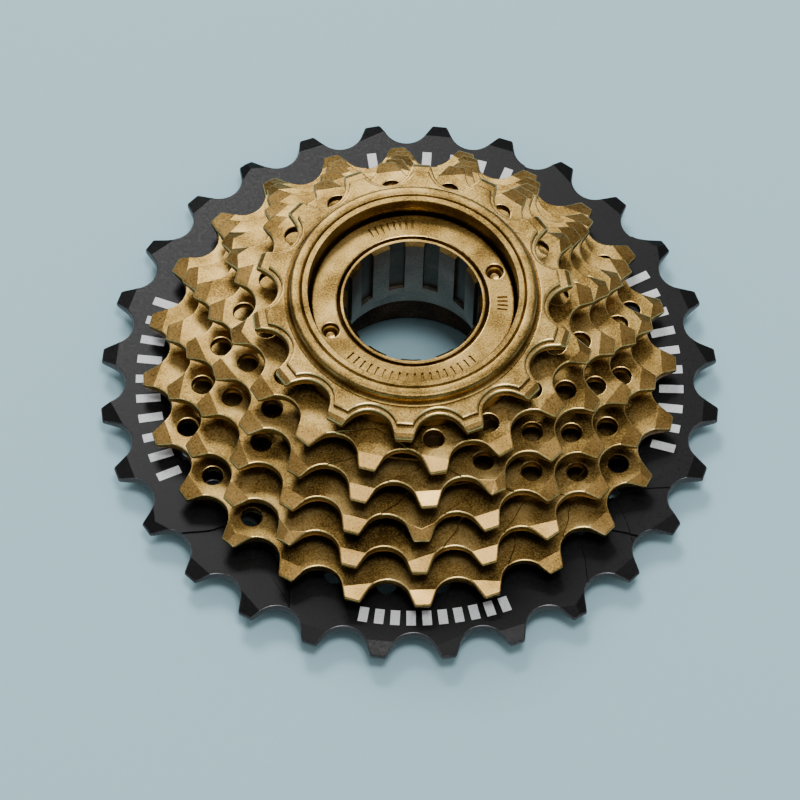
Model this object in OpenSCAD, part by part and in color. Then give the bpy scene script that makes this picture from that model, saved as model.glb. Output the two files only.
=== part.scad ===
// Seven-speed screw-on freewheel, 14 to 28 teeth.
// Origin: centre of the core's back face, which seats on the hub shoulder.
// +Z runs along the axle towards the smallest sprocket.

/* [Sprockets] */
// Distance between chain rivets, half an inch
chain_pitch = 12.7; // [12:0.1:13.5]
// How far the bottom of a gap lies inside the pitch circle
root_drop = 3.95; // [3.7:0.05:4.2]
// Radius of the seat that a chain roller drops into
roller_seat_r = 4.3; // [4:0.05:4.5]
// How far a tooth tip stands outside the pitch circle
tip_rise = 0.7; // [0.4:0.1:1]
// Thickness of each sprocket plate
plate_t = 1.85; // [1.6:0.05:2.3]
// Distance from one sprocket to the next
sprocket_spacing = 5; // [4.6:0.1:5.6]
// Radius of the round holes behind the teeth
tooth_hole_r = 1.9; // [1.2:0.1:2]

/* [Shell] */
// Radius of the shell between its splines
shell_r = 23.2; // [22.8:0.1:23.4]
// Height of a spline above the shell
spline_rise = 1; // [0.6:0.1:1.1]
// Number of splines, one of them wide
spline_count = 8; // [6:1:10]
// Radius of the thread that the smallest sprocket screws onto
shell_thread_r = 20.4; // [20.2:0.1:21]
// Height of the back flange's lower face above the hub shoulder
flange_z = 2; // [1.6:0.1:2.2]
// Number of teeth of the ratchet
ratchet_count = 24; // [12:12:24]

/* [Core] */
// Height of the core, from the hub shoulder to its outer rim
core_h = 34.5; // [33.8:0.1:35.5]
// Minor radius of the 1.37 in by 24 tpi hub thread
hub_thread_r = 16.8; // [16.5:0.1:17]
// Length of the hub thread
hub_thread_l = 10.5; // [9:0.5:11]
// Radius across the lands of the remover socket
socket_r = 12; // [11.4:0.1:12.2]
// Depth of the socket's grooves
groove_d = 0.9; // [0.6:0.1:1]
// Number of grooves in the socket
groove_count = 12; // [8:1:16]
// Length of the socket
socket_l = 17; // [12:0.5:17]

/* [Bearings] */
// Radius of a 1/8 in ball
ball_r = 1.5875; // [1.5:0.0125:1.6]
// Radius of the circle that the front balls run on
front_row_r = 17.4; // [17.3:0.05:17.45]
// Radius of the circle that the rear balls run on
rear_row_r = 20.2; // [20.1:0.05:20.25]

/* [Hidden] */
$fn = 96;
TOOTH_COUNTS = [28, 24, 22, 20, 18, 16, 14];
// Angle of one tooth of each sprocket, in the order of TOOTH_COUNTS
TOOTH_TURNS = [-4, 4.4, -4.4, 4.4, -3.4, 9.9, 11.4];

// Stack of plates
flange_t = 1.6;
flange_r = 27;
stack_z = flange_z + flange_t;
spline_w = 4;
wide_spline_w = 7;
slide_gap = 0.1;
splined_top_z = stack_z + 5 * sprocket_spacing + plate_t;
last_plate_z = stack_z + 6 * sprocket_spacing;
tip_t = 0.95;
chamfer_l = 2.8;
// Flanks leave the round seat a little inside its radius, so that they cross it cleanly
flank_offset = 0.985 * roller_seat_r;
flank_angle = 30;
flank_l = 5.5;
hole_inset = 1.8;
full_hole_run = 6;
hole_run = 8;
over = 1;
edge_cut = 0.3;
spacer_wall = 1.4;

// Smallest sprocket, which also clamps the stack
collar_r = 24.2;
step_r = 26.2;
step_z = last_plate_z + plate_t + 0.7;
ring_r = 22.4;
moat_r = 1.6;
ring_top_z = last_plate_z + plate_t + 2.75;
thread_gap = 0.03;
clamp_gap = 0.2;

// Races
race_r = ball_r + 0.06;
front_ball_z = core_h - 4.9;
rear_ball_z = flange_z + 2.6;
front_ball_count = floor(180 / asin((ball_r + 0.01) / front_row_r));
rear_ball_count = floor(180 / asin((ball_r + 0.01) / rear_row_r));
front_row_turn = 0;
rear_row_turn = 3.5;

// Core
relief_r = 14;
cover_t = 0.5;
cover_gap = 0.3;
rear_cone_r = rear_row_r - race_r;
core_flange_r = 20.3;
thread_lead_in = 0.6;
pawl_zone_flare = 1.3;
cone_top_z = hub_thread_l + 1;
pawl_zone_r = 17.2;
pawl_zone_top_z = 25;
shoulder_r = 15.6;
shim_t = 0.3;
shim_gap = 0.02;
shoulder_z = front_ball_z - 2 * shim_t;
core_thread_r = 13.7;
core_rim_r = 13.3;
core_rim_l = 0.8;
ledge_gap = 0.6;
ledge_z = pawl_zone_top_z + 0.7;
groove_w = 2.9;
groove_stop = 2;

// Lock ring
lock_ring_r = 18.4;
lock_ring_gap = 0.04;
pin_hole_r = 1.6;
pin_hole_d = 2;
pin_circle_r = 16.2;
pin_hole_turn = 25;

// Pawls and ratchet
pawl_w = 6;
pawl_z = 17.6;
heel_r = 1.3;
heel_gap = 0.05;
heel_seat_r = 15.6;
pawl_half_l = 4;
pawl_tip_r = 18.95;
pawl_tip_t = 1.5;
pawl_fold = 12;
pocket_gap = 0.15;
pocket_floor_y = 14.75;
pocket_mouth_y = 20;
ratchet_tip_r = 17.95;
ratchet_root_r = 19.5;
ratchet_back_r = ratchet_root_r + 0.2;
ratchet_z = 16.6;
ratchet_sink = 0.4;
ratchet_slope_end = 0.62;
ratchet_root_end = 0.97;
ratchet_turn = -0.2;
spring_wire_r = 0.35;
spring_circle_r = 16.75;
spring_groove_r = 16.2;
spring_groove_w = 1;
slot_sink = 0.2;

heel_x = pawl_half_l;
heel_y = sqrt(heel_seat_r * heel_seat_r - heel_x * heel_x);
tip_y = sqrt(pawl_tip_r * pawl_tip_r - pawl_half_l * pawl_half_l);

function pitch_r(teeth) = chain_pitch / (2 * sin(180 / teeth));
function plate_z(level) = stack_z + level * sprocket_spacing;
function arc(cx, cy, r, from, to, steps) =
    [for (i = [0:steps]) let (a = from + (to - from) * i / steps) [cx + r * cos(a), cy + r * sin(a)]];

// ---- Sprocket plates ----

// One gap between two teeth: a round roller seat with straight flanks that open outwards
module tooth_gap(teeth) {
    seat_x = pitch_r(teeth) - root_drop + roller_seat_r;
    foot_x = seat_x - flank_offset * sin(flank_angle);
    foot_y = flank_offset * cos(flank_angle);
    mouth_y = foot_y + flank_l * tan(flank_angle);
    translate([seat_x, 0]) circle(r = roller_seat_r);
    polygon([[foot_x, -foot_y], [foot_x + flank_l, -mouth_y],
             [foot_x + flank_l, mouth_y], [foot_x, foot_y]]);
}

module tooth_outline(teeth, limit_r) {
    difference() {
        circle(r = limit_r);
        for (i = [0:teeth - 1]) rotate((i + 0.5) * 360 / teeth) tooth_gap(teeth);
    }
}

// Splines of the shell, or with a gap the notches that they run in
module splines(gap, length) {
    for (i = [0:spline_count - 1]) {
        w = (i == 0 ? wide_spline_w : spline_w) + 2 * gap;
        rotate(i * 360 / spline_count)
            translate([shell_r - over, -w / 2, 0]) cube([over + spline_rise + gap, w, length]);
    }
}

// A plate with its teeth chamfered on the outboard side
module toothed_plate(teeth, turn) {
    tip_r = pitch_r(teeth) + tip_rise;
    rotate(turn) intersection() {
        translate([0, 0, -over]) linear_extrude(plate_t + 2 * over) tooth_outline(teeth, tip_r + over);
        rotate_extrude()
            polygon([[0, 0], [tip_r, 0], [tip_r, tip_t], [tip_r - chamfer_l, plate_t], [0, plate_t]]);
    }
}

module splined_sprocket(level) {
    teeth = TOOTH_COUNTS[level];
    turn = TOOTH_TURNS[level];
    // The largest sprocket has its holes further in, behind those of the next one
    hole_circle_r = pitch_r(TOOTH_COUNTS[max(level, 1)]) - root_drop - hole_inset;
    translate([0, 0, plate_z(level)]) difference() {
        toothed_plate(teeth, turn);
        translate([0, 0, -over]) cylinder(r = shell_r + slide_gap, h = plate_t + 2 * over);
        translate([0, 0, -over]) splines(slide_gap, plate_t + 2 * over);
        // Holes come in runs of six, and the shift ramps lie where two are left out
        for (i = [0:teeth - 1])
            if (i % hole_run < full_hole_run) rotate(turn + i * 360 / teeth)
                translate([hole_circle_r, 0, -over])
                    cylinder(r = tooth_hole_r, h = plate_t + 2 * over, $fn = 32);
    }
}

module sprocket_28t() { color("#2a2a2a") splined_sprocket(0); }
module sprocket_24t() { color("#8a6a3c") splined_sprocket(1); }
module sprocket_22t() { color("#8a6a3c") splined_sprocket(2); }
module sprocket_20t() { color("#8a6a3c") splined_sprocket(3); }
module sprocket_18t() { color("#8a6a3c") splined_sprocket(4); }
module sprocket_16t() { color("#8a6a3c") splined_sprocket(5); }

// The smallest sprocket screws onto the shell and presses the stack together
module sprocket_14t() {
    teeth = TOOTH_COUNTS[6];
    turn = TOOTH_TURNS[6];
    color("#8a6a3c") difference() {
        union() {
            translate([0, 0, last_plate_z]) toothed_plate(teeth, turn);
            rotate(turn) translate([0, 0, last_plate_z + plate_t / 2])
                linear_extrude(step_z - last_plate_z - plate_t / 2) tooth_outline(teeth, step_r);
            rotate_extrude()
                polygon(concat([[0, splined_top_z], [collar_r, splined_top_z], [collar_r, step_z]],
                               arc(collar_r, step_z + moat_r, moat_r, 270, 180, 6),
                               [[ring_r, ring_top_z - edge_cut], [ring_r - edge_cut, ring_top_z],
                                [0, ring_top_z]]));
        }
        translate([0, 0, splined_top_z - over])
            cylinder(r = shell_thread_r + thread_gap, h = ring_top_z - splined_top_z + 2 * over);
    }
}

// ---- Spacers between the splined plates ----

module spacer(level) {
    color("#3a3632") translate([0, 0, plate_z(level) + plate_t]) difference() {
        cylinder(r = shell_r + spline_rise + spacer_wall, h = sprocket_spacing - plate_t);
        translate([0, 0, -over]) cylinder(r = shell_r + spline_rise + slide_gap, h = sprocket_spacing);
    }
}

module spacer_28_24() { spacer(0); }
module spacer_24_22() { spacer(1); }
module spacer_22_20() { spacer(2); }
module spacer_20_18() { spacer(3); }
module spacer_18_16() { spacer(4); }

// ---- Shell ----

module shell_turning() {
    cup_r = rear_row_r + race_r;
    rotate_extrude()
        polygon(concat(
            [[cup_r, flange_z], [flange_r, flange_z], [flange_r, stack_z], [shell_r, stack_z],
             [shell_r, splined_top_z - clamp_gap], [shell_thread_r, splined_top_z - clamp_gap],
             [shell_thread_r, ring_top_z - edge_cut], [shell_thread_r - edge_cut, ring_top_z],
             [front_row_r + race_r + edge_cut / 2, ring_top_z],
             [front_row_r + race_r, ring_top_z - edge_cut / 2]],
            arc(front_row_r, front_ball_z, race_r, 0, -90, 8),
            [[shoulder_r + ledge_gap, front_ball_z - race_r], [shoulder_r + ledge_gap, ledge_z],
             [ratchet_back_r, ledge_z], [ratchet_back_r, rear_ball_z + race_r]],
            arc(rear_row_r, rear_ball_z, race_r, 90, 0, 8)));
}

// Ring of saw teeth: steep on the side that the pawls push against
module ratchet_ring() {
    step = 360 / ratchet_count;
    translate([0, 0, ratchet_z]) rotate(ratchet_turn)
        linear_extrude(pawl_zone_top_z + over - ratchet_z) difference() {
        circle(r = ratchet_back_r + ratchet_sink);
        polygon([for (i = [0:ratchet_count - 1]) each [
            ratchet_tip_r * [cos(i * step), sin(i * step)],
            ratchet_root_r * [cos((i + ratchet_slope_end) * step), sin((i + ratchet_slope_end) * step)],
            ratchet_root_r * [cos((i + ratchet_root_end) * step), sin((i + ratchet_root_end) * step)]]]);
    }
}

module freewheel_shell() {
    color("#3c3a38") union() {
        shell_turning();
        ratchet_ring();
        intersection() {
            translate([0, 0, stack_z - over]) splines(0, splined_top_z - clamp_gap - stack_z + over);
            cylinder(r = shell_r + spline_rise, h = core_h);
        }
    }
}

// Thin ring pressed into the back of the shell
module rear_dust_cover() {
    color("#55524d") translate([0, 0, flange_z]) difference() {
        cylinder(r = rear_row_r + race_r - thread_gap, h = cover_t);
        translate([0, 0, -over]) cylinder(r = core_flange_r + cover_gap, h = cover_t + 2 * over);
    }
}

// ---- Core ----

module core_turning() {
    rotate_extrude()
        polygon(concat(
            [[hub_thread_r + thread_lead_in, 0], [core_flange_r - edge_cut, 0],
             [core_flange_r, edge_cut],
             [core_flange_r, rear_ball_z - race_r], [rear_row_r, rear_ball_z - race_r]],
            arc(rear_row_r, rear_ball_z, race_r, 262, 180, 8),
            [[rear_cone_r, cone_top_z + edge_cut], [pawl_zone_r, cone_top_z + edge_cut + pawl_zone_flare],
             [pawl_zone_r, pawl_zone_top_z], [shoulder_r, pawl_zone_top_z], [shoulder_r, shoulder_z],
             [core_thread_r, shoulder_z], [core_thread_r, core_h - core_rim_l - edge_cut],
             [core_rim_r, core_h - core_rim_l], [core_rim_r, core_h - edge_cut],
             [core_rim_r - edge_cut, core_h],
             [socket_r + edge_cut, core_h], [socket_r, core_h - edge_cut], [socket_r, core_h - socket_l],
             [relief_r, core_h - socket_l], [relief_r, cone_top_z],
             [hub_thread_r, cone_top_z - edge_cut], [hub_thread_r, thread_lead_in]]));
}

module socket_grooves() {
    length = socket_l - groove_stop + over;
    intersection() {
        for (i = [0:groove_count - 1]) rotate((i + 0.5) * 360 / groove_count)
            translate([socket_r - over, -groove_w / 2, core_h + over - length])
                cube([groove_d + 2 * over, groove_w, length]);
        cylinder(r = socket_r + groove_d, h = core_h + 2 * over);
    }
}

// Pocket of one pawl, with the round seat of its heel and room to fold
module pawl_pocket() {
    translate([0, 0, pawl_z - pocket_gap]) linear_extrude(pawl_w + 2 * pocket_gap) {
        translate([heel_x, heel_y]) circle(r = heel_r + heel_gap);
        polygon([[heel_x - 0.7, heel_y - 1.14], [-pawl_half_l - 1.3, pocket_floor_y],
                 [-pawl_half_l - 2.2, pocket_mouth_y], [heel_x + 0.9, pocket_mouth_y],
                 [heel_x + 0.3, heel_y + 0.6]]);
    }
}

module inner_core() {
    color("#2f2f31") difference() {
        core_turning();
        socket_grooves();
        for (turn = [0, 180]) rotate(turn) pawl_pocket();
        translate([0, 0, pawl_z + (pawl_w - spring_groove_w) / 2]) difference() {
            cylinder(r = pawl_zone_r + over, h = spring_groove_w);
            translate([0, 0, -over]) cylinder(r = spring_groove_r, h = spring_groove_w + 2 * over);
        }
    }
}

// ---- Pawls ----

// Turns things about the heel's seat, towards the core
module folded(angle) {
    translate([heel_x, heel_y]) rotate(angle) translate([-heel_x, -heel_y]) children();
}

// A pawl as it lies while the wheel freewheels, folded clear of the ratchet. Its slot is deep
// enough for the spring wire both folded and lifted.
module pawl() {
    slot_r = spring_groove_r - slot_sink;
    translate([0, 0, pawl_z]) folded(pawl_fold) difference() {
        union() {
            translate([heel_x, heel_y]) cylinder(r = heel_r, h = pawl_w);
            linear_extrude(pawl_w)
                polygon([[heel_x - 0.9, heel_y - 0.88], [-pawl_half_l + 0.3, tip_y - pawl_tip_t - 0.2],
                         [-pawl_half_l - 0.1, tip_y - pawl_tip_t], [-pawl_half_l, tip_y],
                         [-pawl_half_l + 0.9, tip_y - 0.15], [heel_x + 0.5, heel_y + 1.1]]);
        }
        translate([0, 0, (pawl_w - spring_groove_w) / 2]) difference() {
            cylinder(r = ratchet_back_r, h = spring_groove_w);
            translate([0, 0, -over]) cylinder(r = slot_r, h = spring_groove_w + 2 * over);
        }
    }
}

module pawl_1() { color("#8f9196") pawl(); }
module pawl_2() { color("#8f9196") rotate(180) pawl(); }

// Open ring of wire that lifts both pawls
module pawl_spring() {
    color("#b9bcc2") translate([0, 0, pawl_z + pawl_w / 2]) rotate(200)
        rotate_extrude(angle = 325) translate([spring_circle_r, 0]) circle(r = spring_wire_r, $fn = 24);
}

// ---- Lock ring, shims and balls ----

module lock_ring() {
    color("#6e5a3c") difference() {
        rotate_extrude()
            polygon(concat(
                [[core_thread_r + lock_ring_gap, front_ball_z], [front_row_r - race_r, front_ball_z]],
                arc(front_row_r, front_ball_z, race_r, 180, 90, 8),
                [[lock_ring_r, front_ball_z + race_r], [lock_ring_r, core_h - edge_cut],
                 [lock_ring_r - edge_cut, core_h], [core_thread_r + edge_cut, core_h],
                 [core_thread_r + lock_ring_gap, core_h - edge_cut]]));
        for (turn = [0, 180]) rotate(pin_hole_turn + turn)
            translate([pin_circle_r, 0, core_h - pin_hole_d])
                cylinder(r = pin_hole_r, h = pin_hole_d + over, $fn = 32);
    }
}

// Two thin washers that set the bearing play
module shim_washers() {
    color("#c9c6bd") for (i = [0, 1]) translate([0, 0, shoulder_z + i * shim_t]) difference() {
        cylinder(r = shoulder_r, h = shim_t - (i == 0 ? shim_gap : 0));
        translate([0, 0, -over]) cylinder(r = core_thread_r + lock_ring_gap, h = shim_t + 2 * over);
    }
}

module ball_row(count, row_r, z, turn) {
    color("#d5d7da") for (i = [0:count - 1]) rotate(turn + i * 360 / count)
        translate([row_r, 0, z]) sphere(r = ball_r, $fn = 32);
}

module front_balls() { ball_row(front_ball_count, front_row_r, front_ball_z, front_row_turn); }
module rear_balls() { ball_row(rear_ball_count, rear_row_r, rear_ball_z, rear_row_turn); }

inner_core();
lock_ring();
shim_washers();
front_balls();
rear_balls();
pawl_1();
pawl_2();
pawl_spring();
freewheel_shell();
rear_dust_cover();
sprocket_28t();
sprocket_24t();
sprocket_22t();
sprocket_20t();
sprocket_18t();
sprocket_16t();
sprocket_14t();
spacer_28_24();
spacer_24_22();
spacer_22_20();
spacer_20_18();
spacer_18_16();
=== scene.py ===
"""Seven-speed screw-on freewheel: its looks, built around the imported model."""

import math

import bpy
import numpy as np
from mathutils import Matrix, Vector
from mathutils.geometry import delaunay_2d_cdt


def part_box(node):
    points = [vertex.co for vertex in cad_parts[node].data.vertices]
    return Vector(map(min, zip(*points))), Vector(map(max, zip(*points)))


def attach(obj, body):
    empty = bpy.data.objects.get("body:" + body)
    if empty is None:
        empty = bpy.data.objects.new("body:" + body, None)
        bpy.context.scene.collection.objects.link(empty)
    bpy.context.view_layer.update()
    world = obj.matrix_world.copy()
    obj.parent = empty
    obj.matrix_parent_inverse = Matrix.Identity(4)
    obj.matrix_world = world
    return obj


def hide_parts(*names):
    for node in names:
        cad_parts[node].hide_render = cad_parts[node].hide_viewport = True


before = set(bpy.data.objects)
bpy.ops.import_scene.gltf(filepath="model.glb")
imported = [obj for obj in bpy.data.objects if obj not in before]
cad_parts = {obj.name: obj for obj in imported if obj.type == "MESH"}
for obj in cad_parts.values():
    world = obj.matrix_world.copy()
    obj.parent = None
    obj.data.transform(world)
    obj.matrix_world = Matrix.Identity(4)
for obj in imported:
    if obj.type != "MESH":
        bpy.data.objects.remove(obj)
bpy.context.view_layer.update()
MM = 0.001


# ---- Plated sprockets, 24 to 16 teeth ----
# Steel plates, stamped and then coined on their outboard side, so that the teeth thin towards their
# tips. They are zinc plated and passivated brown-gold, and slide over the shell's splines.


def srgb(code):
    """A hex colour as the linear colour that a shader takes."""
    channels = [int(code[i : i + 2], 16) / 255 for i in (1, 3, 5)]
    linear = [c / 12.92 if c <= 0.04045 else ((c + 0.055) / 1.055) ** 2.4 for c in channels]
    return (*linear, 1.0)


def add(tree, kind, inputs=None, **settings):
    """One node, with its settings, and its inputs as values or as links from other sockets."""
    made = tree.nodes.new(kind)
    for key, value in settings.items():
        setattr(made, key, value)
    for key, value in (inputs or {}).items():
        if isinstance(value, bpy.types.NodeSocket):
            tree.links.new(value, made.inputs[key])
        else:
            made.inputs[key].default_value = value
    return made


BLOTCH_MM = 7


def speckled_metal(name, dark, mid, light, grain_mm, metallic, roughness, bump=0.15, spread=0.5,
                   specular=0.5):
    """A plated or coated metal: blotches some millimetres wide, with a finer speckle on top."""
    material = bpy.data.materials.new(name)
    material.use_nodes = True
    tree = material.node_tree
    shader = tree.nodes["Principled BSDF"]
    place = add(tree, "ShaderNodeTexCoord").outputs["Object"]
    blotch = add(tree, "ShaderNodeTexNoise",
                 {"Vector": place, "Scale": 1 / (BLOTCH_MM * MM), "Detail": 3.0})
    speckle = add(tree, "ShaderNodeTexNoise",
                  {"Vector": place, "Scale": 1 / (grain_mm * MM), "Detail": 4.0, "Roughness": 0.7})
    tone = add(tree, "ShaderNodeMix",
               {"Factor": 0.55, "A": blotch.outputs["Fac"], "B": speckle.outputs["Fac"]})
    ramp = add(tree, "ShaderNodeValToRGB", {"Fac": tone.outputs["Result"]})
    low, high = 0.5 - spread / 4, 0.5 + spread / 4
    ramp.color_ramp.elements[0].position = low
    ramp.color_ramp.elements[0].color = srgb(dark)
    ramp.color_ramp.elements[1].position = high
    ramp.color_ramp.elements[1].color = srgb(light)
    middle = ramp.color_ramp.elements.new(0.5)
    middle.color = srgb(mid)
    tree.links.new(ramp.outputs["Color"], shader.inputs["Base Color"])
    rough = add(tree, "ShaderNodeMapRange",
                {"Value": speckle.outputs["Fac"], "From Min": 0.3, "From Max": 0.7,
                 "To Min": roughness - 0.07, "To Max": roughness + 0.09})
    tree.links.new(rough.outputs["Result"], shader.inputs["Roughness"])
    dimple = add(tree, "ShaderNodeBump",
                 {"Height": speckle.outputs["Fac"], "Strength": bump, "Distance": 0.05 * MM})
    tree.links.new(dimple.outputs["Normal"], shader.inputs["Normal"])
    shader.inputs["Metallic"].default_value = metallic
    shader.inputs["Specular IOR Level"].default_value = specular
    return material


# Brown-gold passivated zinc: satin and faintly mottled. Its edges are paler, partly handling wear and partly
# painted highlight, and the teeth's chamfers, burnished by the chain, are painted lighter as a highlight.
plated_face = speckled_metal("passivated_zinc_plate", "#4f3c1c", "#8a6f3a", "#b0945a", 0.3, 1.0, 0.34,
                             bump=0.35, spread=0.4)
# A paler gold for the plate's edges: partly handling wear, partly a painted highlight.
edge_wear_and_highlight = speckled_metal("worn_zinc_edge_and_painted_highlight", "#a4854c", "#c9a766", "#dfc084", 0.6, 1.0, 0.28, bump=0.05)
plated_wall = speckled_metal("passivated_zinc_wall", "#523914", "#785a28", "#9a7840", 0.5, 1.0, 0.42)
# A lighter gold for the teeth's chamfers: burnished by the chain, and painted lighter still as a highlight.
burnished_chamfer_with_highlight = speckled_metal("burnished_zinc_chamfer_and_painted_highlight", "#7d6230", "#a6844a", "#c09c5c", 0.35, 1.0, 0.31,
                                bump=0.3)
PLATED = (plated_face, edge_wear_and_highlight, plated_wall, burnished_chamfer_with_highlight)

CHAIN_PITCH = 12.7
ROOT_DROP = 3.95
SEAT_R = 4.3
TIP_RISE = 0.7
PLATE_T = 1.85
EDGE_R = 0.2


def pitch_r(teeth):
    return CHAIN_PITCH / (2 * math.sin(math.pi / teeth))


def polar(radius, angle):
    return np.array([radius * math.cos(angle), radius * math.sin(angle)])


def tooth_outline(teeth, turn, widen=0.0, limit_r=None, seat_steps=12):
    """The outline of the teeth, anticlockwise: round seats, flanks at 30 degrees, and flat tips."""
    pitch = pitch_r(teeth)
    tip_r = limit_r or pitch + TIP_RISE
    seat = SEAT_R + widen
    centre = pitch - ROOT_DROP + SEAT_R
    points = []
    for i in range(teeth):
        middle = turn + (i + 0.5) * 2 * math.pi / teeth
        out = polar(1, middle)
        side = polar(1, middle + math.pi / 2)
        local = [(centre - seat * math.cos(a), seat * math.sin(a))
                 for a in np.radians(np.linspace(-60, 60, seat_steps + 1))]
        foot_x, foot_y = local[-1]
        reach = tip_r * math.cos(math.pi / teeth * 0.72) - foot_x
        corner_y = foot_y + reach * math.tan(math.radians(30))
        round_off = min(0.35, reach / 3)
        for sign in (-1, 1):
            corner = [(foot_x + reach - round_off * 0.87, sign * (corner_y - round_off * 0.5)),
                      (foot_x + reach - round_off * 0.1, sign * (corner_y + round_off * 0.35))]
            local = (corner[::-1] + local) if sign < 0 else (local + corner)
        points += [out * x + side * y for x, y in local]
    return np.array(points)


def ring(radius, steps, centre=(0.0, 0.0), turn=0.0):
    """A clockwise circle, so that the plate's metal lies on its left."""
    angles = turn - np.arange(steps) * 2 * math.pi / steps
    return np.stack([centre[0] + radius * np.cos(angles), centre[1] + radius * np.sin(angles)], 1)


def inset(loop, distance):
    """A closed loop moved to its left, with mitred corners."""
    step = np.roll(loop, -1, 0) - loop
    step /= np.linalg.norm(step, axis=1, keepdims=True)
    left = np.stack([-step[:, 1], step[:, 0]], 1)
    before = np.roll(left, 1, 0)
    return loop + (left + before) / (1 + (left * before).sum(1, keepdims=True)) * distance


def distance_to(points, starts, ends):
    """How far each point is from the nearest of some segments."""
    best = np.full(len(points), 1e9)
    along = ends - starts
    length2 = np.maximum((along**2).sum(1), 1e-12)
    for first in range(0, len(points), 2000):
        part = points[first : first + 2000, None, :] - starts[None]
        share = np.clip((part * along[None]).sum(2) / length2[None], 0, 1)
        gap = part - share[..., None] * along[None]
        best[first : first + 2000] = np.sqrt((gap**2).sum(2).min(1))
    return best


def inside(points, loop):
    """Which points lie inside a closed loop."""
    x, y = points[:, 0], points[:, 1]
    result = np.zeros(len(points), bool)
    for (ax, ay), (bx, by) in zip(loop, np.roll(loop, -1, 0)):
        if ay != by:
            crosses = (ay > y) != (by > y)
            result ^= crosses & (x < (bx - ax) * (y - ay) / (by - ay) + ax)
    return result


def make_object(name, points, faces, marks, materials, smooth=None, smooth_angle=35):
    """A mesh object in metres from points in millimetres, with one material for each mark. smooth
    says of each face whether it is shaded smooth."""
    mesh = bpy.data.meshes.new(name)
    mesh.from_pydata((np.asarray(points) * MM).tolist(), [], faces)
    for material in materials:
        mesh.materials.append(material)
    mesh.polygons.foreach_set("material_index", marks)
    mesh.polygons.foreach_set("use_smooth", smooth or [True] * len(faces))
    mesh.set_sharp_from_angle(angle=math.radians(smooth_angle))
    mesh.validate()
    made = bpy.data.objects.new(name, mesh)
    bpy.context.scene.collection.objects.link(made)
    return made


CREASE_W = 0.06


def plate_mesh(outline, holes, thickness, relief, creases, burnish_and_highlight=None, edge_r=EDGE_R):
    """A plate in millimetres with rounded edges. relief gives how far its top is cut down at each
    point, creases are the lines where that changes direction, and the chamfer mask says which points
    are burnished and painted a lighter colour as a highlight. The marks are 0 for a face, 1 for an edge,
    2 for a wall and 3 for the burnished chamfer with its painted highlight."""
    loops = [outline, *holes]
    shares = [0, 0.3, 1, 1.35]
    drops = [1, 0.3, 0, 0]
    points, edges = [], []
    for loop in loops:
        for share in shares:
            line = inset(loop, share * edge_r) if share else loop
            start = sum(len(p) for p in points)
            points.append(line)
            edges += [(start + i, start + (i + 1) % len(line)) for i in range(len(line))]
    for line in creases:
        start = sum(len(p) for p in points)
        points.append(line)
        edges += [(start + i, start + i + 1) for i in range(len(line) - 1)]
    flat = np.concatenate(points)
    found = delaunay_2d_cdt([Vector(p) for p in flat], edges, [], 0, 1e-5, False)
    flat = np.array([tuple(v) for v in found[0]])
    faces = np.array([f for f in found[2] if len(f) == 3])
    centres = flat[faces].mean(1)
    keep = inside(centres, outline)
    for hole in holes:
        keep &= ~inside(centres, hole)
    faces, centres = faces[keep], centres[keep]
    used = np.unique(faces)
    renumber = np.full(len(flat), -1)
    renumber[used] = np.arange(len(used))
    flat, faces = flat[used], renumber[faces]
    corners = flat[faces]
    turned = np.cross(corners[:, 1] - corners[:, 0], corners[:, 2] - corners[:, 0]) < 0
    faces[turned] = faces[turned][:, ::-1]

    starts = np.concatenate(loops)
    ends = np.concatenate([np.roll(loop, -1, 0) for loop in loops])
    drop = np.interp(distance_to(flat, starts, ends), np.array(shares) * edge_r, drops) * edge_r
    count = len(flat)
    top = np.column_stack([flat, thickness - relief(flat) - drop])
    bottom = np.column_stack([flat, drop])
    # Faces along the edges take the edge colour, which is partly wear and, on the gold plate, partly a
    # painted highlight.
    edge_wear_and_sheen = distance_to(centres, starts, ends) < edge_r
    top_marks = edge_wear_and_sheen.astype(int)
    if burnish_and_highlight:
        top_marks[burnish_and_highlight(centres) & ~edge_wear_and_sheen] = 3
    marks = list(top_marks) + list(edge_wear_and_sheen.astype(int))
    all_faces = faces.tolist() + (faces[:, ::-1] + count).tolist()
    sides = {}
    for a, b, c in faces.tolist():
        for edge in ((a, b), (b, c), (c, a)):
            sides[edge] = True
    for a, b in sides:
        if (b, a) not in sides:
            all_faces.append([a, a + count, b + count, b])
            marks.append(2)
    return np.concatenate([top, bottom]), all_faces, marks


def parallel(line, distance):
    """An open line moved to its left."""
    step = np.gradient(line, axis=0)
    step /= np.linalg.norm(step, axis=1, keepdims=True)
    return line + np.stack([-step[:, 1], step[:, 0]], 1) * distance


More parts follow.
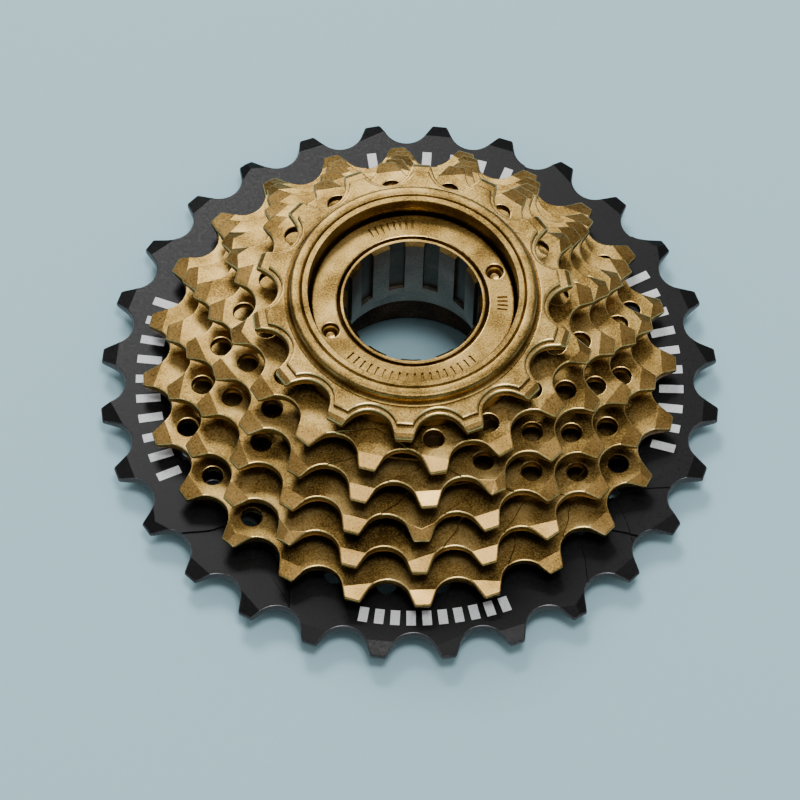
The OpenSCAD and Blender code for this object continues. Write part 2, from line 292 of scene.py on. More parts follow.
class ToothChamfers:
    """How the outboard side of each tooth is coined down: straight, slanted, or to a ridge."""

    KINDS = {"straight": (2.8, 0, 0), "left": (2.6, 0.14, 0.14), "right": (2.6, -0.14, -0.14),
             "ridge": (1.9, 0.27, -0.27)}

    def __init__(self, teeth, turn, kinds, scale=1.0, cut=0.9):
        self.teeth, self.turn, self.cut = teeth, turn, cut
        self.tip_r = pitch_r(teeth) + TIP_RISE
        table = np.array([self.KINDS[kinds[i % len(kinds)]] for i in range(teeth)], float)
        self.length, self.lean = table[:, 0] * scale, table[:, 1:]

    def depth(self, points):
        angle = np.arctan2(points[:, 1], points[:, 0]) - self.turn
        tooth = np.round(angle / (2 * math.pi / self.teeth)).astype(int) % self.teeth
        axis = self.turn + tooth * 2 * math.pi / self.teeth
        inwards = self.tip_r - (points[:, 0] * np.cos(axis) + points[:, 1] * np.sin(axis))
        across = -points[:, 0] * np.sin(axis) + points[:, 1] * np.cos(axis)
        planes = [self.cut * (1 - inwards / self.length[tooth] + self.lean[tooth, i] * across)
                  for i in (0, 1)]
        return np.clip(np.maximum(*planes), 0, self.cut + 0.2)

    def crease(self, i):
        axis = self.turn + i * 2 * math.pi / self.teeth
        out, side = polar(1, axis), polar(1, axis + math.pi / 2)
        first, second = self.lean[i]
        across = np.array([-3.4, 0, 3.4])
        back = self.length[i] * (1 + np.where(across > 0, first, second) * across)
        lines = [(self.tip_r - back)[:, None] * out + across[:, None] * side]
        if first != second:
            ends = np.array([self.tip_r + 0.5, self.tip_r - self.length[i] + CREASE_W])
            lines.append(ends[:, None] * out + 0 * side)
        return lines

    # The chamfered points, which take the lighter chamfer colour: burnish and a painted highlight.
    def burnish_and_highlight(self, points):
        return self.depth(points) > 0.01

    def creases(self):
        lines = [line for i in range(self.teeth) for line in self.crease(i)]
        return [parallel(line, shift) for line in lines for shift in (0, CREASE_W, -CREASE_W)]


def smooth_curve(knots, steps=8):
    """A smooth open curve through some points."""
    knots = np.array([2 * knots[0] - knots[1], *knots, 2 * knots[-1] - knots[-2]])
    curve = []
    for a, b, c, d in zip(knots, knots[1:], knots[2:], knots[3:]):
        for t in np.arange(steps) / steps:
            curve.append(0.5 * (2 * b + (c - a) * t + (2 * a - 5 * b + 4 * c - d) * t**2
                                + (3 * b - a - 3 * c + d) * t**3))
    return np.array(curve + [knots[-2]])


STEP_W = 0.16


class ShiftRamp:
    """A shallow pocket pressed into the face between two gaps, to help the chain climb. A negative
    depth gives back the full height inside another ramp."""

    def __init__(self, teeth, turn, first_gap, last_gap, reach, depth=0.32):
        step = 2 * math.pi / teeth
        start, end = turn + (first_gap + 0.5) * step, turn + (last_gap + 0.5) * step
        root = pitch_r(teeth) - ROOT_DROP
        lean = 0.16 * step
        knots = [polar(root + 1.5, start - lean), polar(root - 0.2, start - lean * 0.6),
                 polar(root - 0.45 * reach, start + lean * 0.8),
                 polar(root - 0.9 * reach, start + 2.2 * lean),
                 polar(root - reach, (start + end) / 2), polar(root - 0.85 * reach, end - 2.4 * lean),
                 polar(root - 0.5 * reach, end - lean), polar(root - 0.2, end + lean * 0.2),
                 polar(root + 1.5, end + lean * 0.6)]
        self.line = smooth_curve(knots)
        far = pitch_r(teeth) * 1.3
        arc = [polar(far, a) for a in np.linspace(end + lean, start - lean, 12)]
        self.region = np.concatenate([self.line, arc])
        self.press = depth

    def depth(self, points):
        away = distance_to(points, self.line[:-1], self.line[1:])
        away[~inside(points, self.region)] *= -1
        return self.press * np.clip(away / STEP_W + 0.5, 0, 1)

    def creases(self):
        return [parallel(self.line, side * STEP_W / 2) for side in (1, -1)]


SHELL_R = 23.2
SPLINE_RISE = 1.0
SPLINE_WIDTHS = [7, 4, 4, 4, 4, 4, 4, 4]


def splined_bore(slide=0.1):
    """The hole that slides over the shell's splines, clockwise, with one wide notch."""
    points = []
    for i, width in enumerate(SPLINE_WIDTHS):
        middle = i * 2 * math.pi / len(SPLINE_WIDTHS)
        half = width / 2 + slide
        inner, outer = SHELL_R + slide, SHELL_R + SPLINE_RISE + slide
        out, side = polar(1, middle), polar(1, middle + math.pi / 2)
        for radius, offset in ((inner, -half), (outer, -half), (outer, 0), (outer, half), (inner, half)):
            points.append(out * math.sqrt(radius**2 - offset**2) + side * offset)
        edge = math.asin(half / inner)
        next_edge = math.asin((SPLINE_WIDTHS[(i + 1) % 8] / 2 + slide) / inner)
        turn = 2 * math.pi / len(SPLINE_WIDTHS)
        for angle in np.linspace(middle + edge, middle + turn - next_edge, 6)[1:-1]:
            points.append(polar(inner, angle))
    return np.array(points[::-1])


HOLE_R = 1.9
HOLE_INSET = 1.8


def splined_sprocket(node_name, teeth, turn_deg, kinds, ramps, holed, materials, cut=0.9,
                     hole_circle=None):
    """One splined plate, at its node's height. holed lists the teeth that have a hole behind them."""
    turn = math.radians(turn_deg)
    chamfers = ToothChamfers(teeth, turn, kinds, cut=cut)
    features = [chamfers] + [ShiftRamp(teeth, turn, *ramp) for ramp in ramps]
    hole_circle = hole_circle or pitch_r(teeth) - ROOT_DROP - HOLE_INSET
    holes = [splined_bore()]
    for i in holed:
        holes.append(ring(HOLE_R, 24, polar(hole_circle, turn + i * 2 * math.pi / teeth)))
    # The chamfers' mask gives them the lighter chamfer colour, a painted highlight.
    points, faces, marks = plate_mesh(
        tooth_outline(teeth, turn), holes, PLATE_T,
        lambda flat: sum(feature.depth(flat) for feature in features),
        [line for feature in features for line in feature.creases()], chamfers.burnish_and_highlight)
    points[:, 2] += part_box(node_name)[0].z / MM
    made = make_object(node_name + "_plate", points, faces, marks, materials,
                       smooth=[m in (1, 2) for m in marks])
    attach(made, "shell")
    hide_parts(node_name)
    return made


MIXED = ["straight", "ridge", "straight", "left", "straight", "right", "straight"]
# The angle of each plate's first tooth in degrees, its ramps, and the teeth with a hole behind them
PLATES = {
    24: (4.4, [(19, 22, 6.5), (20, 22, 4.0, -0.16), (5, 6, 5.0)], (1, 2, 3, 13, 14, 15, 22)),
    22: (-4.4, [(17, 19, 6.0), (18, 19, 3.6, -0.16), (5, 7, 4.6)], (0, 1, 4, 5, 12, 20, 21)),
    20: (4.4, [(14, 16, 5.5), (15, 16, 3.4, -0.16), (4, 6, 4.2)], (1, 2, 3, 10, 11, 12, 17, 18, 19)),
    18: (-3.4, [(12, 14, 4.8), (13, 14, 3.0, -0.16), (3, 5, 3.8)], (0, 1, 2, 9, 10, 11, 15, 16, 17)),
    16: (9.9, [(10, 11, 3.2)], [i for i in range(16) if i not in (10, 11)])}
for teeth, (turn_deg, ramps, holed) in PLATES.items():
    plate = splined_sprocket(f"sprocket_{teeth}t", teeth, turn_deg, MIXED, ramps, holed, PLATED)


# ---- Largest sprocket ----
# The same stamped plate with 28 teeth, in a black coating instead of brown-gold plate. Its coating
# rubs shiny along the edges, and rusts faintly on the cut walls of the teeth.

black_face = speckled_metal("black_coated_steel", "#0d0d0e", "#101011", "#141415", 0.6, 0.0, 0.32, bump=0.01,
                            specular=0.16)
black_edge = speckled_metal("rubbed_black_edge", "#2a2a2c", "#3c3b3e", "#525055", 0.5, 0.3, 0.24, bump=0.03)
black_wall = speckled_metal("rusted_black_wall", "#2a201f", "#3d2e2c", "#54423e", 0.4, 0.1, 0.42, bump=0.2)
BLACK = (black_face, black_edge, black_wall, black_face)
HIDDEN_HOLE_CIRCLE = 42.9
largest = splined_sprocket(
    "sprocket_28t", 28, -4, ["straight", "left", "straight", "ridge", "straight", "right", "straight"],
    [(17, 19, 9.0), (18, 19, 4.4, -0.32), (24, 25, 9.0), (25, 26, 8.0, 0.2), (3, 5, 8.0)],
    range(28), BLACK, cut=0.85, hole_circle=HIDDEN_HOLE_CIRCLE)


# ---- Printed ticks on the largest sprocket ----
# White ink, screen printed on the black coating as plain bars in four groups. The ink is too thin
# to feel, and the next sprocket's teeth partly hide it.

INK_OUTER_R = 50.8
TICK_W = 1.7
INK_T = 0.02

ink = speckled_metal("white_ink", "#c9cbd0", "#dfe1e5", "#f0f1f3", 0.5, 0.0, 0.45, bump=0.05)


def socket_id(tree, name):
    """The identifier by which a modifier knows one of its tree's inputs."""
    return next(item.identifier for item in tree.interface.items_tree
                if item.name == name and item.in_out == "INPUT")


def tree_with(name, inputs):
    """A new geometry tree with some named inputs, given as a socket type and a default."""
    tree = bpy.data.node_groups.new(name, "GeometryNodeTree")
    tree.interface.new_socket("Geometry", in_out="OUTPUT", socket_type="NodeSocketGeometry")
    for label, (kind, value) in inputs.items():
        socket = tree.interface.new_socket(label, in_out="INPUT", socket_type=kind)
        if value is not None:
            socket.default_value = value
    return tree


def grown(name, tree, values):
    """The plain mesh that a geometry tree makes from some input values."""
    seed = bpy.data.objects.new(name + "_seed", bpy.data.meshes.new(name + "_seed"))
    bpy.context.scene.collection.objects.link(seed)
    modifier = seed.modifiers.new("grow", "NODES")
    modifier.node_group = tree
    for label, value in values.items():
        modifier[socket_id(tree, label)] = value
    seed.update_tag()
    depsgraph = bpy.context.evaluated_depsgraph_get()
    mesh = bpy.data.meshes.new_from_object(seed.evaluated_get(depsgraph), depsgraph=depsgraph)
    bpy.data.objects.remove(seed)
    mesh.name = name
    made = bpy.data.objects.new(name, mesh)
    bpy.context.scene.collection.objects.link(made)
    return made


# A row of bars along an arc, each turned to point at the axle
ticks = tree_with("tick_arc", {
    "Radius": ("NodeSocketFloat", 0.05), "Height": ("NodeSocketFloat", 0.005),
    "Start": ("NodeSocketFloat", 0.0), "Sweep": ("NodeSocketFloat", 0.5), "Count": ("NodeSocketInt", 8),
    "Size": ("NodeSocketVector", (0.004, 0.001, 0.0001)), "Material": ("NodeSocketMaterial", None)})
given = add(ticks, "NodeGroupInput").outputs
bar = add(ticks, "GeometryNodeMeshCube", {"Size": given["Size"]}).outputs["Mesh"]
line = add(ticks, "GeometryNodeMeshLine", {"Count": given["Count"]}, mode="OFFSET")
order = add(ticks, "GeometryNodeInputIndex").outputs["Index"]
last = add(ticks, "ShaderNodeMath", {0: given["Count"], 1: 1.0}, operation="SUBTRACT").outputs[0]
share = add(ticks, "ShaderNodeMath", {0: order, 1: last}, operation="DIVIDE").outputs[0]
angle = add(ticks, "ShaderNodeMath", {0: share, 1: given["Sweep"], 2: given["Start"]},
            operation="MULTIPLY_ADD").outputs[0]
across = add(ticks, "ShaderNodeMath", {0: angle}, operation="COSINE").outputs[0]
along = add(ticks, "ShaderNodeMath", {0: angle}, operation="SINE").outputs[0]
x = add(ticks, "ShaderNodeMath", {0: across, 1: given["Radius"]}, operation="MULTIPLY").outputs[0]
y = add(ticks, "ShaderNodeMath", {0: along, 1: given["Radius"]}, operation="MULTIPLY").outputs[0]
place = add(ticks, "ShaderNodeCombineXYZ", {"X": x, "Y": y, "Z": given["Height"]}).outputs["Vector"]
placed = add(ticks, "GeometryNodeSetPosition", {"Geometry": line.outputs["Mesh"], "Position": place})
turn = add(ticks, "ShaderNodeCombineXYZ", {"Z": angle}).outputs["Vector"]
rotation = add(ticks, "FunctionNodeEulerToRotation", {"Euler": turn}).outputs["Rotation"]
copies = add(ticks, "GeometryNodeInstanceOnPoints",
             {"Points": placed.outputs["Geometry"], "Instance": bar, "Rotation": rotation})
real = add(ticks, "GeometryNodeRealizeInstances", {"Geometry": copies.outputs["Instances"]})
painted = add(ticks, "GeometryNodeSetMaterial",
              {"Geometry": real.outputs["Geometry"], "Material": given["Material"]})
add(ticks, "NodeGroupOutput", {"Geometry": painted.outputs["Geometry"]})

plate_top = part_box("sprocket_28t")[1].z
for group, (first, last_angle, count, length) in enumerate((
        (162, 206, 10, 4.5), (-14, 30, 10, 4.5), (262, 292, 10, 3.0), (70, 100, 6, 4.5))):
    outer = INK_OUTER_R if length > 4 else INK_OUTER_R + 0.4
    bars = grown(f"printed_ticks_{group + 1}", ticks, {
        "Radius": (outer - length / 2) * MM, "Height": plate_top - INK_T * MM / 2 + 0.012 * MM,
        "Start": math.radians(first), "Sweep": math.radians(last_angle - first), "Count": count,
        "Size": (length * MM, TICK_W * MM, INK_T * MM), "Material": ink})
    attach(bars, "shell")


# ---- Smallest sprocket ----
# Fourteen teeth on a collar that screws onto the shell and clamps the other plates. It is turned
# and milled from one blank: thin teeth, a scalloped step, a concave moat, and a round bead.

TEETH_14 = 14
TURN_14 = math.radians(11.4)
LAST_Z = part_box("sprocket_14t")[1].z / MM - 2.75 - PLATE_T
STEP_R = 26.9
STEP_T = 0.75
LEDGE = 0.75
MOAT_R = 0.7
MOAT_OUTER_R = 23.05
MOAT_DEPTH = 0.3
COLLAR_R = 24.2
BEAD_R = 22.4
THREAD_R = 20.43
TOP_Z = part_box("sprocket_14t")[1].z / MM
COLLAR_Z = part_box("sprocket_14t")[0].z / MM


def soften(corners, radius=0.2, steps=4):
    """A closed profile with every corner rounded. A third number on a corner is its own radius."""
    result = []
    for i, corner in enumerate(corners):
        here = np.array(corner[:2], float)
        before = np.array(corners[i - 1][:2], float) - here
        after = np.array(corners[(i + 1) % len(corners)][:2], float) - here
        r = corner[2] if len(corner) > 2 else radius
        room = min(np.linalg.norm(before), np.linalg.norm(after)) * 0.45
        before /= np.linalg.norm(before)
        after /= np.linalg.norm(after)
        half = math.acos(float(np.clip(before @ after, -1, 1))) / 2
        back = min(r / max(math.tan(half), 1e-6), room)
        if r <= 0 or half > math.pi / 2 - 0.02:
            result.append(here)
            continue
        for t in np.linspace(0, 1, steps + 1):
            result.append((1 - t) ** 2 * (here + before * back) + 2 * t * (1 - t) * here
                          + t**2 * (here + after * back))
    return np.array(result)


def turned(profile, steps=256, centre=(0.0, 0.0)):
    """Points and faces of a closed profile of radius and height, anticlockwise, turned about Z."""
    angles = np.arange(steps) * 2 * math.pi / steps
    count = len(profile)
    points = np.array([[centre[0] + r * math.cos(a), centre[1] + r * math.sin(a), z]
                       for a in angles for r, z in profile])
    faces = []
    for i in range(steps):
        j = (i + 1) % steps
        for k in range(count):
            n = (k + 1) % count
            faces.append([i * count + k, j * count + k, j * count + n, i * count + n])
    return points, faces


def joined(parts):
    """One list of points, faces and marks from several."""
    points, faces, marks = [], [], []
    for part_points, part_faces, part_marks in parts:
        start = sum(len(p) for p in points)
        points.append(part_points)
        faces += [[start + i for i in face] for face in part_faces]
        marks += list(part_marks)
    return np.concatenate(points), faces, marks


tip_chamfer = ToothChamfers(TEETH_14, TURN_14, ["straight"], scale=0.36, cut=0.55)
# The tip chamfers also take the lighter chamfer colour, a painted highlight.
teeth_part = plate_mesh(tooth_outline(TEETH_14, TURN_14), [ring(MOAT_OUTER_R, 128)], PLATE_T,
                        tip_chamfer.depth, tip_chamfer.creases(), tip_chamfer.burnish_and_highlight, edge_r=0.3)
teeth_part[0][:, 2] += LAST_Z
step_part = plate_mesh(tooth_outline(TEETH_14, TURN_14, widen=LEDGE, limit_r=STEP_R),
                       [ring(MOAT_OUTER_R, 128)], PLATE_T / 2 + STEP_T,
                       lambda flat: np.zeros(len(flat)), [], edge_r=0.3)
step_part[0][:, 2] += LAST_Z + PLATE_T / 2
moat_z = LAST_Z + PLATE_T + STEP_T - MOAT_DEPTH
moat = [(MOAT_OUTER_R + 0.1 - MOAT_R * math.sin(a), moat_z + MOAT_R * (1 - math.cos(a)), 0)
        for a in np.linspace(0, math.pi / 2, 6)]
collar = soften([(THREAD_R, COLLAR_Z, 0.3), (COLLAR_R, COLLAR_Z, 0.3), (COLLAR_R, LAST_Z + 0.4, 0.1),
                 (MOAT_OUTER_R + 0.1, LAST_Z + 0.4, 0.1)] + moat
                + [(BEAD_R + 0.05, TOP_Z, 0.7), (THREAD_R, TOP_Z, 0.35)])
collar_points, collar_faces = turned(collar)
collar_marks = [0] * len(collar_faces)
smallest_parts = [teeth_part, step_part, (collar_points, collar_faces, collar_marks)]
flat_faces = [m > 0 for part in smallest_parts[:2] for m in part[2]]
smallest = make_object("smallest_sprocket", *joined(smallest_parts), PLATED,
                       smooth=flat_faces + [True] * len(collar_faces))
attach(smallest, "shell")
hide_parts("sprocket_14t")


# ---- Shell and spacers ----
# The shell is a turned and splined steel body with the same brown-gold plate, seen as a narrow ring
# inside the smallest sprocket and as a flange at the back. Dark spacers keep the plates apart.


def paint(node_name, material):
    """Gives a CAD node its finish, without touching its mesh."""
    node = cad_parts[node_name]
    node.data.materials.clear()
    node.data.materials.append(material)


spacer_steel = speckled_metal("oiled_spacer_steel", "#221b12", "#3a2e1e", "#54442c", 0.6, 1.0, 0.5)
paint("freewheel_shell", plated_face)
for node_name in ("spacer_28_24", "spacer_24_22", "spacer_22_20", "spacer_20_18", "spacer_18_16"):
    paint(node_name, spacer_steel)


# ---- Core ----
# The core stands still on the hub: a forged steel tube, threaded inside at the back and grooved
# inside at the front for the remover. Its bore keeps a dark heat-treated skin, and its rim is plated.

CORE_H = 34.5
SOCKET_R = 12
GROOVE_R = 12.65
GROOVE_W = 2.9
GROOVE_COUNT = 12
SOCKET_L = 17
GROOVE_STOP = 2
RELIEF_R = 14
HUB_R = 16.8
HUB_THREAD_D = 0.6
HUB_PITCH = 25.4 / 24
CONE_TOP_Z = 11.5
RACE_R = 1.6475
REAR_ROW_R = 20.2
REAR_BALL_Z = 4.6
PAWL_ZONE_R = 17.2
PAWL_ZONE_TOP_Z = 25
FRONT_BALL_Z = 29.6
FRONT_ROW_R = 17.4
SHOULDER_R = 15.6
SHOULDER_Z = 29
CORE_THREAD_R = 13.7
CORE_RIM_R = 13.3
CORE_RIM_L = 0.8
HEEL = (4.0, 15.08)
HEEL_R = 1.35
PAWL_Z = 17.6
PAWL_W = 6
POCKET_GAP = 0.15
SPRING_GROOVE_R = 16.2

dark_skin = speckled_metal("dark_heat_treated_bore", "#5f544b", "#7d7168", "#988a7e", 0.5, 0.7, 0.36,
                           bump=0.1)
floor_skin = speckled_metal("groove_floor", "#2f2b27", "#48423b", "#645a4c", 0.4, 0.7, 0.38, bump=0.1)

race = [(REAR_ROW_R + RACE_R * math.cos(a), REAR_BALL_Z + RACE_R * math.sin(a), 0)
        for a in np.radians(np.linspace(265, 180, 9))]
outside = soften([(HUB_R + 0.6, 0.0, 0), (20.3, 0.0, 0.3), (20.3, REAR_BALL_Z - RACE_R, 0.15)]
                 + race
                 + [(REAR_ROW_R - RACE_R, CONE_TOP_Z + 0.3), (PAWL_ZONE_R, CONE_TOP_Z + 1.6),
                    (PAWL_ZONE_R, PAWL_ZONE_TOP_Z), (SHOULDER_R, PAWL_ZONE_TOP_Z),
                    (SHOULDER_R, SHOULDER_Z, 0.1), (CORE_THREAD_R, SHOULDER_Z, 0.1),
                    (CORE_THREAD_R, CORE_H - CORE_RIM_L - 0.3, 0.1), (CORE_RIM_R, CORE_H - CORE_RIM_L, 0.1),
                    (CORE_RIM_R, CORE_H, 0.25), (SOCKET_R + 0.7, CORE_H, 0.12),
                    (SOCKET_R, CORE_H - 0.7, 0.12),
                    (SOCKET_R, CORE_H - SOCKET_L, 0.2), (RELIEF_R, CORE_H - SOCKET_L, 0.2),
                    (RELIEF_R, CONE_TOP_Z, 0.2), (HUB_R, CONE_TOP_Z - 0.6, 0)])
thread_rows = np.arange(CONE_TOP_Z - 0.7, 0.55, -HUB_PITCH / 10)
profile = np.concatenate([outside, [(HUB_R, z) for z in thread_rows]])
core_points, core_faces = turned(profile, 240)
rows = len(profile)
is_thread = np.tile(np.arange(rows) >= len(outside), 240)
around = np.arctan2(core_points[:, 1], core_points[:, 0])
phase = (core_points[:, 2] / HUB_PITCH - around / (2 * math.pi)) % 1
fade = np.clip(np.minimum(core_points[:, 2] - 0.5, CONE_TOP_Z - 0.7 - core_points[:, 2]) / 0.8, 0, 1)
deeper = np.where(is_thread, HUB_THREAD_D * fade * (1 - np.abs(2 * phase - 1)), 0)
scale = 1 + deeper / np.hypot(core_points[:, 0], core_points[:, 1])
core_points[:, 0] *= scale
core_points[:, 1] *= scale
middle = np.array([core_points[face].mean(0) for face in core_faces])
middle_r = np.hypot(middle[:, 0], middle[:, 1])
in_socket = (middle_r < SOCKET_R + 0.2) & (middle[:, 2] < CORE_H - 0.8)
in_relief = (middle_r < RELIEF_R + 0.2) & (middle[:, 2] < CORE_H - SOCKET_L + 0.1)
in_thread = (middle_r < HUB_R + HUB_THREAD_D + 0.05) & (middle[:, 2] < CONE_TOP_Z + 0.1)
core_marks = np.select([in_thread, in_socket | in_relief], [2, 1], 0)
core_body = make_object("core_body", core_points, core_faces, core_marks.tolist(),
                        (plated_face, dark_skin, floor_skin))


def prism(corners, low, high):
    """Points and faces of a straight prism on some anticlockwise corners."""
    count = len(corners)
    points = [(x, y, low) for x, y in corners] + [(x, y, high) for x, y in corners]
    faces = [list(range(count))[::-1], list(range(count, 2 * count))]
    faces += [[i, (i + 1) % count, (i + 1) % count + count, i + count] for i in range(count)]
    return np.array(points), faces


def cut_away(target, name, solids, mark, materials):
    """Cuts some closed solids out of an object for good."""
    cutter = make_object(name, *joined([(p, f, [mark] * len(f)) for p, f in solids]), materials)
    modifier = target.modifiers.new(name, "BOOLEAN")
    modifier.operation = "DIFFERENCE"
    modifier.solver = "EXACT"
    modifier.object = cutter
    depsgraph = bpy.context.evaluated_depsgraph_get()
    mesh = bpy.data.meshes.new_from_object(target.evaluated_get(depsgraph), depsgraph=depsgraph)
    target.modifiers.clear()
    target.data = mesh
    bpy.data.objects.remove(cutter)


grooves = []
for i in range(GROOVE_COUNT):
    middle_angle = (i + 0.5) * 2 * math.pi / GROOVE_COUNT
    half = math.asin(GROOVE_W / 2 / GROOVE_R)
    corners = [polar(SOCKET_R - 1, middle_angle - half * 1.17)]
    corners += [polar(GROOVE_R, middle_angle + t * half) for t in np.linspace(-1, 1, 7)]
    corners += [polar(SOCKET_R - 1, middle_angle + half * 1.17)]
    grooves.append(prism(corners, CORE_H - SOCKET_L + GROOVE_STOP, CORE_H + 1))
core_skins = (plated_face, dark_skin, floor_skin)
cut_away(core_body, "grooves", grooves, 2, core_skins)

pockets = []
for side in (1, -1):
    seat = [(HEEL[0] + HEEL_R * math.cos(a), HEEL[1] + HEEL_R * math.sin(a))
            for a in np.radians(np.linspace(-120, 20, 9))]
    shape = [(HEEL[0] - 0.7, HEEL[1] - 1.14), *seat[1:], (HEEL[0] + 0.9, 20), (-6.2, 20), (-5.3, 14.75)]
    pockets.append(prism([(side * x, side * y) for x, y in shape],
                         PAWL_Z - POCKET_GAP, PAWL_Z + PAWL_W + POCKET_GAP))
cut_away(core_body, "pawl_pockets", pockets, 1, core_skins)
middle_z = PAWL_Z + PAWL_W / 2
spring_groove = turned(np.array([(SPRING_GROOVE_R, middle_z - 0.5), (PAWL_ZONE_R + 1, middle_z - 0.5),
                                 (PAWL_ZONE_R + 1, middle_z + 0.5), (SPRING_GROOVE_R, middle_z + 0.5)]), 128)
cut_away(core_body, "spring_groove", [spring_groove], 1, core_skins)
core_body.data.set_sharp_from_angle(angle=math.radians(35))
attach(core_body, "core")
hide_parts("inner_core")


# ---- Lock ring and shims ----
# The lock ring is the outer cone of the front bearing, screwed onto the core. Two stepped holes take
# a pin spanner, and the ring is stamped with plain ticks. Two thin shims lie beneath it.

LOCK_R = 18.4
LOCK_BORE_R = 13.8
LOCK_T = CORE_H - FRONT_BALL_Z - RACE_R
PIN_CIRCLE_R = 16.2
PIN_HOLE_R = 1.55
PIN_TURN = math.radians(25)
PIN_FLOOR_R = 0.9
STAMP_D = 0.35
STAMP_SLOPE = 0.08


class StampedTicks:
    """Short radial strokes struck into a face, in groups of angles in degrees."""

    def __init__(self, inner, outer, width, angles):
        self.inner, self.outer, self.width = inner, outer, width
        self.angles = np.radians(angles)

    def stroke(self, angle, grow):
        out, side = polar(1, angle), polar(1, angle + math.pi / 2)
        low, high = self.inner - grow, self.outer + grow
        half = self.width / 2 + grow
        corners = [(low, -half), (high, -half), (high, half), (low, half), (low, -half)]
        return np.array([out * r + side * s for r, s in corners])

    def depth(self, points):
        result = np.zeros(len(points))
        for angle in self.angles:
            radial = points @ polar(1, angle)
            across = points @ polar(1, angle + math.pi / 2)
            away = np.minimum(np.minimum(radial - self.inner, self.outer - radial),
                              self.width / 2 - np.abs(across))
            result = np.maximum(result, STAMP_D * np.clip(away / STAMP_SLOPE + 1, 0, 1))
        return result

    def creases(self):
        return [self.stroke(angle, grow) for angle in self.angles for grow in (0, STAMP_SLOPE)]


stamps = StampedTicks(15.4, 17.1, 0.26, [*range(92, 124, 4), *range(228, 316, 5), 356, 359, 2, 5])
pin_places = [polar(PIN_CIRCLE_R, PIN_TURN), polar(PIN_CIRCLE_R, PIN_TURN + math.pi)]
lock_face = plate_mesh(ring(LOCK_R, 192)[::-1], [ring(LOCK_BORE_R, 160)]
                       + [ring(PIN_HOLE_R, 32, place) for place in pin_places],
                       LOCK_T, stamps.depth, stamps.creases(), edge_r=0.25)
lock_face[0][:, 2] += CORE_H - LOCK_T
cup = [(FRONT_ROW_R + RACE_R * math.cos(a), FRONT_BALL_Z + RACE_R * math.sin(a))
       for a in np.radians(np.linspace(92, 180, 9))]
lock_cone = np.array([(LOCK_BORE_R, FRONT_BALL_Z), (FRONT_ROW_R - RACE_R, FRONT_BALL_Z)]
                     + cup[::-1][1:]
                     + [(LOCK_R - 0.1, CORE_H - LOCK_T + 0.02), (LOCK_R - 0.1, CORE_H - LOCK_T + 0.3),
                        (LOCK_BORE_R, CORE_H - LOCK_T + 0.3)])
cone_points, cone_faces = turned(lock_cone, 192)
pin_parts = []
for place in pin_places:
    pin_profile = soften([(0.01, CORE_H - 2.4, 0), (PIN_HOLE_R + 0.2, CORE_H - 2.4, 0),
                          (PIN_HOLE_R + 0.2, CORE_H - 1.0, 0), (PIN_HOLE_R - 0.3, CORE_H - 1.15, 0.1),
                          (0.95, CORE_H - 1.5, 0.1), (0.8, CORE_H - 2.0, 0.1), (0.01, CORE_H - 2.05, 0)])
    pin_points, pin_faces = turned(pin_profile, 32, tuple(place))
    rows = len(pin_profile)
    pin_marks = [1 if pin_profile[k % rows][0] < PIN_FLOOR_R else 2 for k in range(len(pin_faces))]
    pin_parts.append((pin_points, pin_faces, pin_marks))
lock_ring = make_object("lock_ring_stamped", *joined(
    [lock_face, (cone_points, cone_faces, [0] * len(cone_faces)), *pin_parts]), PLATED)
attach(lock_ring, "core")
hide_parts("lock_ring")

bright_steel = speckled_metal("ground_bearing_steel", "#a9abae", "#c2c4c6", "#dadbdc", 0.4, 1.0, 0.16,
                              bump=0.02)
hardened_steel = speckled_metal("hardened_pawl_steel", "#55565a", "#737479", "#929398", 0.4, 1.0, 0.34)
paint("shim_washers", bright_steel)


# ---- Ball rows ----
# Loose 1/8 inch steel balls in grease, one row in each race, ground and polished. They run round at
# about half the speed of the shell.

BALL_R = 1.5875

balls = tree_with("ball_row", {
    "Radius": ("NodeSocketFloat", 0.0174), "Height": ("NodeSocketFloat", 0.03),
    "Ball": ("NodeSocketFloat", 0.0016), "Count": ("NodeSocketInt", 30), "Turn": ("NodeSocketFloat", 0.0),
    "Material": ("NodeSocketMaterial", None)})
given = add(balls, "NodeGroupInput").outputs
row = add(balls, "GeometryNodeMeshCircle",
          {"Vertices": given["Count"], "Radius": given["Radius"]}).outputs["Mesh"]
lift = add(balls, "ShaderNodeCombineXYZ", {"Z": given["Height"]}).outputs["Vector"]
lifted = add(balls, "GeometryNodeSetPosition", {"Geometry": row, "Offset": lift}).outputs["Geometry"]
ball = add(balls, "GeometryNodeMeshIcoSphere",
           {"Radius": given["Ball"], "Subdivisions": 4}).outputs["Mesh"]
smooth = add(balls, "GeometryNodeSetShadeSmooth", {"Geometry": ball}).outputs["Geometry"]
copies = add(balls, "GeometryNodeInstanceOnPoints",
             {"Points": lifted, "Instance": smooth}).outputs["Instances"]
start = add(balls, "ShaderNodeCombineXYZ", {"Z": given["Turn"]}).outputs["Vector"]
turned_row = add(balls, "GeometryNodeTransform", {"Geometry": copies, "Rotation": start}).outputs["Geometry"]
real = add(balls, "GeometryNodeRealizeInstances", {"Geometry": turned_row}).outputs["Geometry"]
painted = add(balls, "GeometryNodeSetMaterial", {"Geometry": real, "Material": given["Material"]})
add(balls, "NodeGroupOutput", {"Geometry": painted.outputs["Geometry"]})
for node_name, body, row_r, height, count, start_deg in (
        ("front_balls", "front_ball_row", FRONT_ROW_R, FRONT_BALL_Z, 34, 0),
        ("rear_balls", "rear_ball_row", REAR_ROW_R, REAR_BALL_Z, 39, 3.5)):
    polished = grown(node_name + "_polished", balls, {
        "Radius": row_r * MM, "Height": height * MM, "Ball": BALL_R * MM, "Count": count,
        "Turn": math.radians(start_deg), "Material": bright_steel})
    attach(polished, body)
    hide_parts(node_name)


# ---- Pawls, their spring and the dust cover ----
# Two hardened pawls rock in pockets of the core. An open ring of spring wire lifts them into the
# ratchet, and a thin pressed ring keeps dust out of the rear bearing.

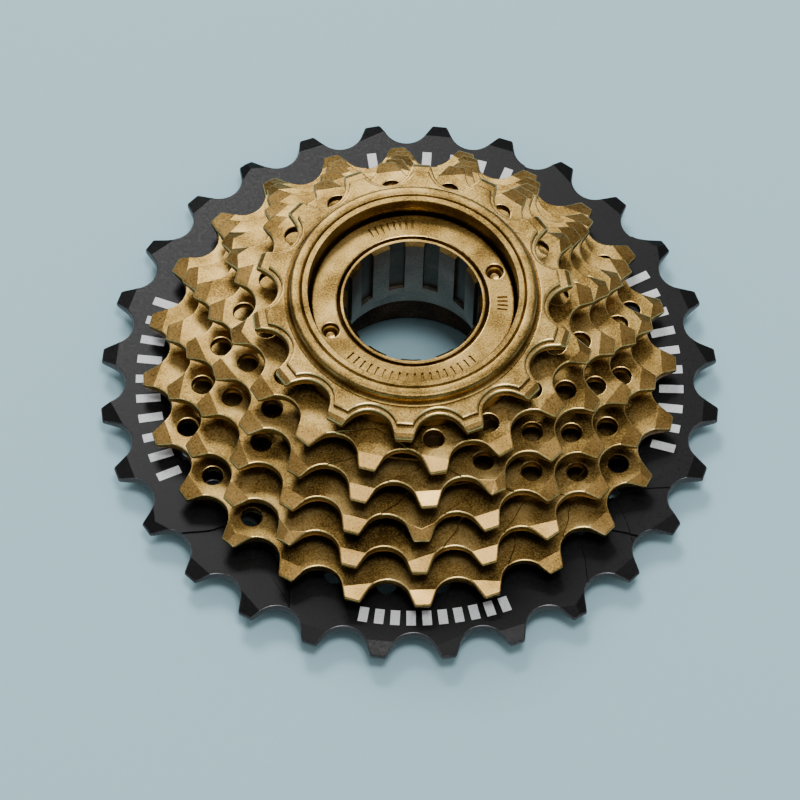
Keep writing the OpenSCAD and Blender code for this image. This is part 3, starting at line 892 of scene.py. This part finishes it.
for node_name in ("pawl_1", "pawl_2", "rear_dust_cover"):
    paint(node_name, hardened_steel)
paint("pawl_spring", bright_steel)


# ---- Floor, light and camera ----
floor_mesh = bpy.data.meshes.new("floor")
floor_mesh.from_pydata([(-3, -3, 0), (3, -3, 0), (3, 3, 0), (-3, 3, 0)], [], [(0, 1, 2, 3)])
floor = bpy.data.objects.new("floor", floor_mesh)
bpy.context.scene.collection.objects.link(floor)
paper = bpy.data.materials.new("pale_paper")
paper.use_nodes = True
paper.node_tree.nodes["Principled BSDF"].inputs["Base Color"].default_value = srgb("#b4deea")
paper.node_tree.nodes["Principled BSDF"].inputs["Roughness"].default_value = 0.9
floor_mesh.materials.append(paper)

# A white dome that is brightest overhead
world = bpy.data.worlds.new("studio")
world.use_nodes = True
sky = world.node_tree
direction = add(sky, "ShaderNodeTexCoord").outputs["Generated"]
height = add(sky, "ShaderNodeSeparateXYZ", {"Vector": direction}).outputs["Z"]
glow = add(sky, "ShaderNodeMapRange",
           {"Value": height, "From Min": 0.15, "From Max": 1.0, "To Min": 0.14, "To Max": 0.6})
sky.nodes["Background"].inputs["Color"].default_value = srgb("#fbfaf8")
sky.links.new(glow.outputs["Result"], sky.nodes["Background"].inputs["Strength"])
bpy.context.scene.world = world


def softbox(name, place, size, power, target=(0, 0, 0.02)):
    lamp = bpy.data.lights.new(name, "AREA")
    lamp.shape = "RECTANGLE"
    lamp.size, lamp.size_y = size
    lamp.energy = power
    made = bpy.data.objects.new(name, lamp)
    bpy.context.scene.collection.objects.link(made)
    made.location = place
    made.rotation_euler = (Vector(target) - Vector(place)).to_track_quat("-Z", "Y").to_euler()
    return made


softbox("key_softbox", (-0.16, 0.62, 0.74), (0.3, 0.3), 5)
softbox("overhead_softbox", (0.1, -0.12, 1.3), (0.36, 0.36), 7)

ELEVATION = math.radians(59.6)
ROLL = 0.036
DISTANCE = 1.1
camera_data = bpy.data.cameras.new("camera")
camera_data.lens = 266.6
camera_data.sensor_width = 36
camera = bpy.data.objects.new("camera", camera_data)
bpy.context.scene.collection.objects.link(camera)
forward = Vector((0, math.cos(ELEVATION), -math.sin(ELEVATION)))
up = Vector((0, math.sin(ELEVATION), math.cos(ELEVATION)))
aim = Vector((-0.0017, 0, 0.0045)) - up * 0.0029
facing = Matrix((Vector((1, 0, 0)), up, -forward)).transposed()
camera.matrix_world = (Matrix.Translation(aim - forward * DISTANCE) @ facing.to_4x4()
                       @ Matrix.Rotation(ROLL, 4, "Z"))
bpy.context.scene.camera = camera
